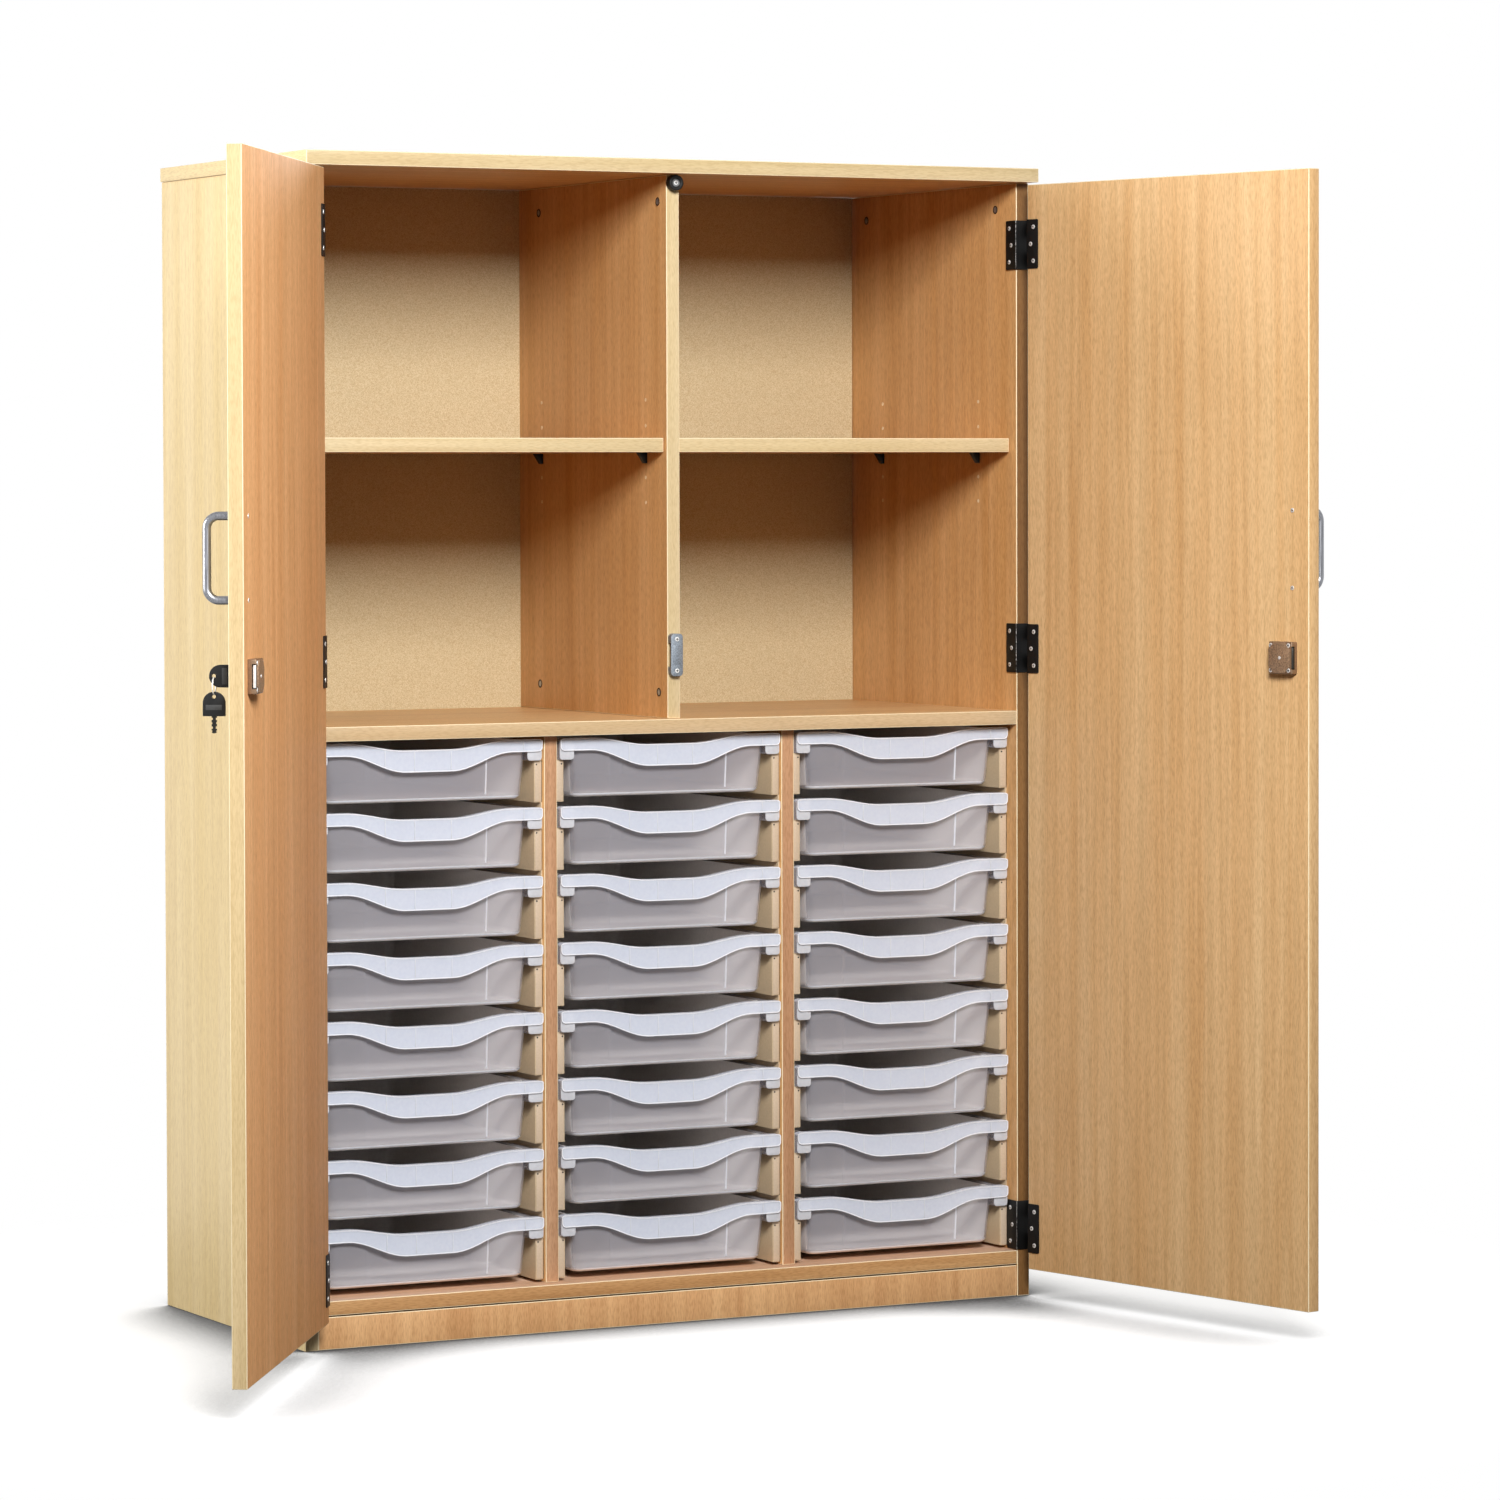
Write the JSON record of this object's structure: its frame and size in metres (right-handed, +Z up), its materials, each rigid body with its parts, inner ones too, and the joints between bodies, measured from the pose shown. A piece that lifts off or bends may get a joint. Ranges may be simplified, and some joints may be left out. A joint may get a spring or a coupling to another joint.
{
  "type": "classroom tray storage unit",
  "caption": "Tall two-door lockable wooden cupboard with divided shelf compartments above and columns of pull-out plastic trays on runners below, both doors standing open.",
  "frame": {"origin": "middle of the underside of the plinth board, on the floor", "axes": "+Z up, doors and trays to the front (-Y), +X to the right seen from the front"},
  "size_m": [1.4623, 0.9891, 1.475],
  "materials": {
    "beech": "satin beech-effect laminate",
    "hardboard": "matt laminated board",
    "frosted_tray": "translucent moulded plastic",
    "runner": "satin moulded plastic",
    "black_steel": "satin black",
    "brushed_steel": "brushed",
    "lock_steel": "bronze-grey metal",
    "bright_steel": "bright plated",
    "black_plastic": "satin black",
    "rubber": "matt black"
  },
  "bodies": {
    "carcass": {"left_side_panel": "beech", "right_side_panel": "beech", "top_panel": "beech", "base_panel": "beech", "middle_panel": "beech", "back_panel": "hardboard", "plinth_board": "beech", "upper_divider": "beech", "left_tray_divider": "beech", "right_tray_divider": "beech", "left_shelf": "beech", "right_shelf": "beech", "left_bay_left_runner": "runner", "left_bay_right_runner": "runner", "middle_bay_left_runner": "runner", "middle_bay_right_runner": "runner", "right_bay_left_runner": "runner", "right_bay_right_runner": "runner", "left_upper_hinge": "black_steel", "left_middle_hinge": "black_steel", "left_lower_hinge": "black_steel", "right_upper_hinge": "black_steel", "right_middle_hinge": "black_steel", "right_lower_hinge": "black_steel", "lock_keep": "brushed_steel", "door_buffer": "rubber"},
    "left_door": {"left_door": "beech", "left_handle": "brushed_steel", "left_lock_case": "lock_steel"},
    "right_door": {"right_door": "beech", "right_handle": "brushed_steel", "right_lock_case": "lock_steel"},
    "left_bolt": {"left_lock_bolt": "bright_steel"},
    "right_bolt": {"right_lock_bolt": "bright_steel"},
    "key": {"lock_key": "black_plastic"},
    "spare": {"spare_key": "black_plastic"},
    "left_tray_1": {"left_tray_1": "frosted_tray"},
    "left_tray_2": {"left_tray_2": "frosted_tray"},
    "left_tray_3": {"left_tray_3": "frosted_tray"},
    "left_tray_4": {"left_tray_4": "frosted_tray"},
    "left_tray_5": {"left_tray_5": "frosted_tray"},
    "left_tray_6": {"left_tray_6": "frosted_tray"},
    "left_tray_7": {"left_tray_7": "frosted_tray"},
    "left_tray_8": {"left_tray_8": "frosted_tray"},
    "middle_tray_1": {"middle_tray_1": "frosted_tray"},
    "middle_tray_2": {"middle_tray_2": "frosted_tray"},
    "middle_tray_3": {"middle_tray_3": "frosted_tray"},
    "middle_tray_4": {"middle_tray_4": "frosted_tray"},
    "middle_tray_5": {"middle_tray_5": "frosted_tray"},
    "middle_tray_6": {"middle_tray_6": "frosted_tray"},
    "middle_tray_7": {"middle_tray_7": "frosted_tray"},
    "middle_tray_8": {"middle_tray_8": "frosted_tray"},
    "right_tray_1": {"right_tray_1": "frosted_tray"},
    "right_tray_2": {"right_tray_2": "frosted_tray"},
    "right_tray_3": {"right_tray_3": "frosted_tray"},
    "right_tray_4": {"right_tray_4": "frosted_tray"},
    "right_tray_5": {"right_tray_5": "frosted_tray"},
    "right_tray_6": {"right_tray_6": "frosted_tray"},
    "right_tray_7": {"right_tray_7": "frosted_tray"},
    "right_tray_8": {"right_tray_8": "frosted_tray"}
  },
  "joints": [
    {"name": "left_door_hinge", "type": "hinge", "parent": "carcass", "child": "left_door", "pos_m": [-0.5165, -0.036, 0.746], "axis": [0, 0, -1], "range_deg": [-123.7, 131.3]},
    {"name": "right_door_hinge", "type": "hinge", "parent": "carcass", "child": "right_door", "pos_m": [0.5165, -0.036, 0.746], "axis": [0, 0, 1], "range_deg": [-102, 153]},
    {"name": "key_turn", "type": "hinge", "parent": "left_door", "child": "key", "pos_m": [-0.78449, -0.42882, 0.849], "axis": [0.832, -0.5548, 0], "range_deg": [0, 90]},
    {"name": "left_bolt_throw", "type": "slide", "parent": "left_door", "child": "left_bolt", "axis": [-0.5548, -0.832, 0], "range_m": [0, 0.018]},
    {"name": "right_bolt_throw", "type": "slide", "parent": "right_door", "child": "right_bolt", "axis": [0.2079, -0.9781, 0], "range_m": [0, 0.018]},
    {"name": "spare_key_swing", "type": "hinge", "parent": "key", "child": "spare", "pos_m": [-0.79822, -0.41967, 0.848], "axis": [0.5548, 0.832, 0], "range_deg": [-12, 60]},
    {"name": "left_tray_1_slide", "type": "slide", "parent": "carcass", "child": "left_tray_1", "axis": [0, -1, 0], "range_m": [0, 0.34]},
    {"name": "left_tray_2_slide", "type": "slide", "parent": "carcass", "child": "left_tray_2", "axis": [0, -1, 0], "range_m": [0, 0.34]},
    {"name": "left_tray_3_slide", "type": "slide", "parent": "carcass", "child": "left_tray_3", "axis": [0, -1, 0], "range_m": [0, 0.34]},
    {"name": "left_tray_4_slide", "type": "slide", "parent": "carcass", "child": "left_tray_4", "axis": [0, -1, 0], "range_m": [0, 0.34]},
    {"name": "left_tray_5_slide", "type": "slide", "parent": "carcass", "child": "left_tray_5", "axis": [0, -1, 0], "range_m": [0, 0.34]},
    {"name": "left_tray_6_slide", "type": "slide", "parent": "carcass", "child": "left_tray_6", "axis": [0, -1, 0], "range_m": [0, 0.34]},
    {"name": "left_tray_7_slide", "type": "slide", "parent": "carcass", "child": "left_tray_7", "axis": [0, -1, 0], "range_m": [0, 0.34]},
    {"name": "left_tray_8_slide", "type": "slide", "parent": "carcass", "child": "left_tray_8", "axis": [0, -1, 0], "range_m": [0, 0.34]},
    {"name": "middle_tray_1_slide", "type": "slide", "parent": "carcass", "child": "middle_tray_1", "axis": [0, -1, 0], "range_m": [0, 0.34]},
    {"name": "middle_tray_2_slide", "type": "slide", "parent": "carcass", "child": "middle_tray_2", "axis": [0, -1, 0], "range_m": [0, 0.34]},
    {"name": "middle_tray_3_slide", "type": "slide", "parent": "carcass", "child": "middle_tray_3", "axis": [0, -1, 0], "range_m": [0, 0.34]},
    {"name": "middle_tray_4_slide", "type": "slide", "parent": "carcass", "child": "middle_tray_4", "axis": [0, -1, 0], "range_m": [0, 0.34]},
    {"name": "middle_tray_5_slide", "type": "slide", "parent": "carcass", "child": "middle_tray_5", "axis": [0, -1, 0], "range_m": [0, 0.34]},
    {"name": "middle_tray_6_slide", "type": "slide", "parent": "carcass", "child": "middle_tray_6", "axis": [0, -1, 0], "range_m": [0, 0.34]},
    {"name": "middle_tray_7_slide", "type": "slide", "parent": "carcass", "child": "middle_tray_7", "axis": [0, -1, 0], "range_m": [0, 0.34]},
    {"name": "middle_tray_8_slide", "type": "slide", "parent": "carcass", "child": "middle_tray_8", "axis": [0, -1, 0], "range_m": [0, 0.34]},
    {"name": "right_tray_1_slide", "type": "slide", "parent": "carcass", "child": "right_tray_1", "axis": [0, -1, 0], "range_m": [0, 0.34]},
    {"name": "right_tray_2_slide", "type": "slide", "parent": "carcass", "child": "right_tray_2", "axis": [0, -1, 0], "range_m": [0, 0.34]},
    {"name": "right_tray_3_slide", "type": "slide", "parent": "carcass", "child": "right_tray_3", "axis": [0, -1, 0], "range_m": [0, 0.34]},
    {"name": "right_tray_4_slide", "type": "slide", "parent": "carcass", "child": "right_tray_4", "axis": [0, -1, 0], "range_m": [0, 0.34]},
    {"name": "right_tray_5_slide", "type": "slide", "parent": "carcass", "child": "right_tray_5", "axis": [0, -1, 0], "range_m": [0, 0.34]},
    {"name": "right_tray_6_slide", "type": "slide", "parent": "carcass", "child": "right_tray_6", "axis": [0, -1, 0], "range_m": [0, 0.34]},
    {"name": "right_tray_7_slide", "type": "slide", "parent": "carcass", "child": "right_tray_7", "axis": [0, -1, 0], "range_m": [0, 0.34]},
    {"name": "right_tray_8_slide", "type": "slide", "parent": "carcass", "child": "right_tray_8", "axis": [0, -1, 0], "range_m": [0, 0.34]}
  ],
  "couplings": [
    {"joint": "key_turn", "follows": "left_bolt_throw", "rad_per_m": 87}
  ]
}
